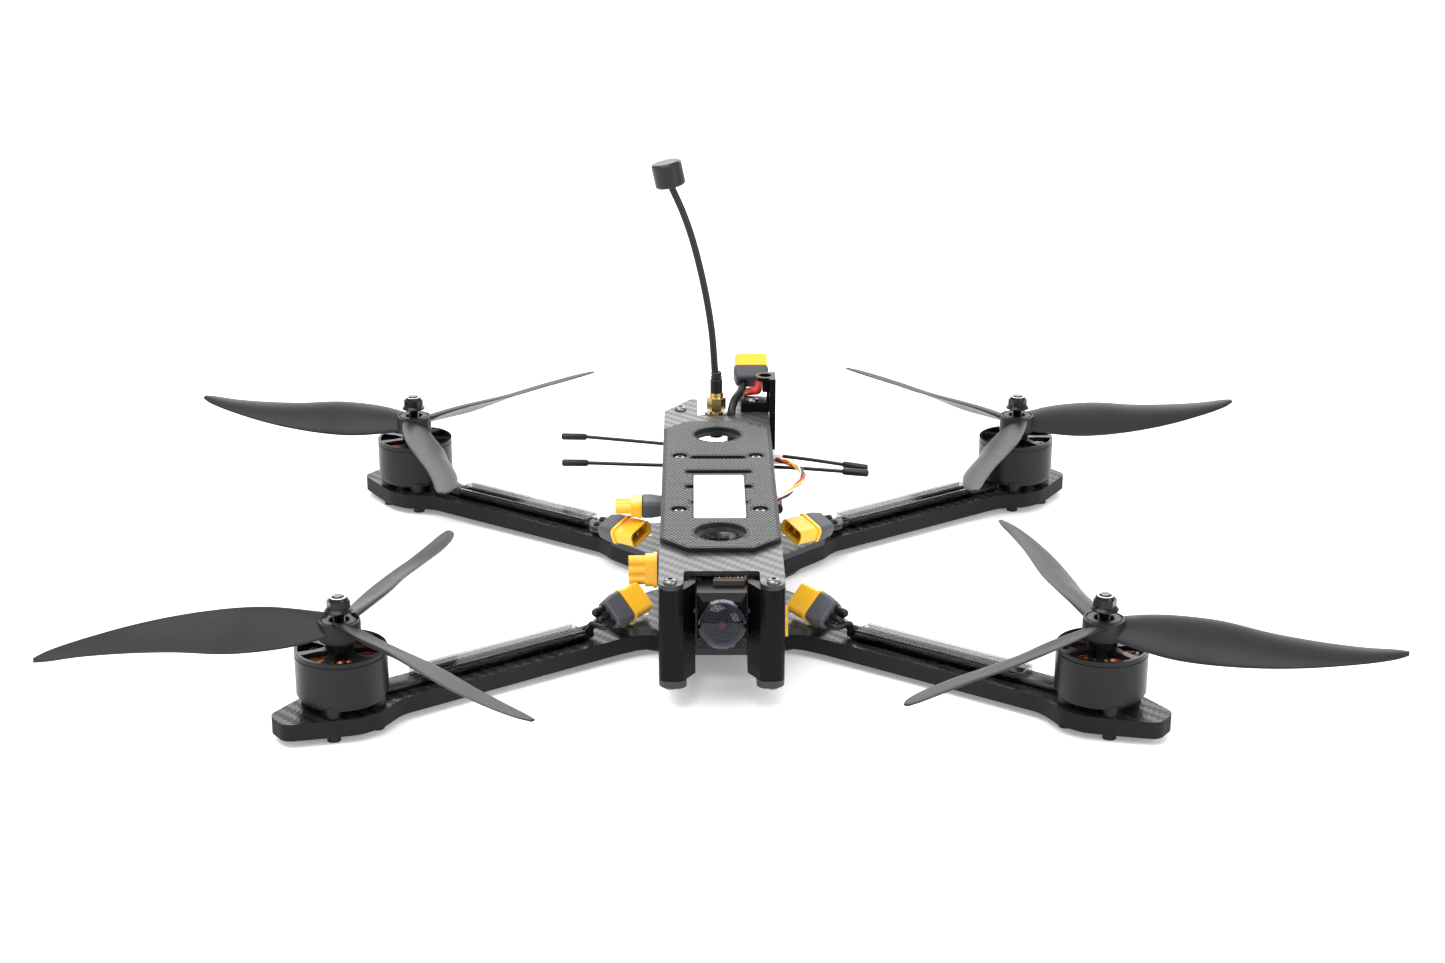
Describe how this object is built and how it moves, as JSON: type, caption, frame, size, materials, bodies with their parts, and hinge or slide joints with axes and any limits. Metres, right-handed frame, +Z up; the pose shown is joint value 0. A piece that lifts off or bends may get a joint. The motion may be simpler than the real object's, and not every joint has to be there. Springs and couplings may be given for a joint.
{
  "type": "quadcopter drone",
  "caption": "Camera quadcopter with a flat carbon frame, brushless motors, three-blade propellers, tilting nose camera, battery pad on top and a bent video antenna.",
  "frame": {"origin": "centre of the bottom plate's underside, midway between the four motor axes", "axes": "+X to the craft's left (the picture's right), -Y towards the nose, +Z up along the motor shafts"},
  "size_m": [0.5188, 0.4274, 0.1747],
  "materials": {
    "carbon_plate": "woven twill, satin top and matte sawn edges",
    "pad_rubber": "matte with a fine raised hexagon texture",
    "paper_label": "matte white paper",
    "black_anodised": "satin black anodised",
    "printed_plastic": "matte black printed plastic with fine layers",
    "nickel_screws": "bright nickel plate",
    "black_steel": "satin black oxide",
    "laminated_steel": "thin stacked sheets",
    "copper_wire": "enamelled copper",
    "steel": "turned steel",
    "propeller_nylon": "satin dark grey nylon",
    "clear_plastic": "clear",
    "black_silicone": "satin black silicone",
    "red_silicone": "satin red silicone",
    "yellow_nylon": "satin yellow",
    "grey_boot": "matte grey",
    "circuit_board": "black solder mask",
    "antenna_sleeve": "black sleeve",
    "capacitor_sleeve": "black shrink sleeve",
    "gold_plate": "gold plate",
    "white_nylon": "white",
    "yellow_wire": "thin insulated wires in four colours",
    "camera_plastic": "matte black",
    "lens_glass": "coated dark glass",
    "clear_dome": "clear cover",
    "camera_wire": "thin insulated wires in several colours"
  },
  "bodies": {
    "airframe": {"bottom_plate": "carbon_plate", "middle_plate": "carbon_plate", "top_plate": "carbon_plate", "arm_fl": "carbon_plate", "arm_fr": "carbon_plate", "arm_rl": "carbon_plate", "arm_rr": "carbon_plate", "battery_pad": "pad_rubber", "label": "paper_label", "standoffs": "black_anodised", "camera_mount_left": "printed_plastic", "camera_mount_right": "printed_plastic", "rear_bracket": "printed_plastic", "antenna_mount": "printed_plastic", "frame_screws": "nickel_screws", "motor_screws": "black_steel", "motor_bases": "black_anodised", "stators": "laminated_steel", "windings": "copper_wire", "wire_guards": "clear_plastic", "phase_wires": "black_silicone", "motor_plugs": "yellow_nylon", "controller_sockets": "yellow_nylon", "plug_boots": "grey_boot", "speed_controller": "circuit_board", "flight_controller": "circuit_board", "stack_posts": "steel", "video_transmitter": "black_anodised", "receiver": "circuit_board", "receiver_antennas": "antenna_sleeve", "capacitor": "capacitor_sleeve", "coax_connector": "gold_plate", "antenna_stem": "antenna_sleeve", "antenna_cap": "printed_plastic", "battery_lead_black": "black_silicone", "battery_lead_red": "red_silicone", "battery_plug": "yellow_nylon", "signal_plug": "white_nylon", "signal_wires": "yellow_wire"},
    "rotor_fl": {"bell_fl": "black_anodised", "shaft_fl": "steel", "propeller_fl": "propeller_nylon", "nut_fl": "black_steel"},
    "rotor_fr": {"bell_fr": "black_anodised", "shaft_fr": "steel", "propeller_fr": "propeller_nylon", "nut_fr": "black_steel"},
    "rotor_rl": {"bell_rl": "black_anodised", "shaft_rl": "steel", "propeller_rl": "propeller_nylon", "nut_rl": "black_steel"},
    "rotor_rr": {"bell_rr": "black_anodised", "shaft_rr": "steel", "propeller_rr": "propeller_nylon", "nut_rr": "black_steel"},
    "camera": {"camera_housing": "camera_plastic", "camera_lens": "lens_glass", "camera_dome": "clear_dome", "camera_wires": "camera_wire", "camera_screws": "nickel_screws"}
  },
  "joints": [
    {"name": "rotor_spin_fl", "type": "hinge", "parent": "airframe", "child": "rotor_fl", "pos_m": [-0.148, -0.13, 0.03], "axis": [0, 0, 1], "continuous": true},
    {"name": "rotor_spin_fr", "type": "hinge", "parent": "airframe", "child": "rotor_fr", "pos_m": [0.148, -0.13, 0.03], "axis": [0, 0, 1], "continuous": true},
    {"name": "rotor_spin_rl", "type": "hinge", "parent": "airframe", "child": "rotor_rl", "pos_m": [-0.148, 0.13, 0.03], "axis": [0, 0, 1], "continuous": true},
    {"name": "rotor_spin_rr", "type": "hinge", "parent": "airframe", "child": "rotor_rr", "pos_m": [0.148, 0.13, 0.03], "axis": [0, 0, 1], "continuous": true},
    {"name": "camera_tilt", "type": "hinge", "parent": "airframe", "child": "camera", "pos_m": [0, -0.11, 0.04], "axis": [-1, 0, 0], "range_deg": [0, 30]}
  ]
}
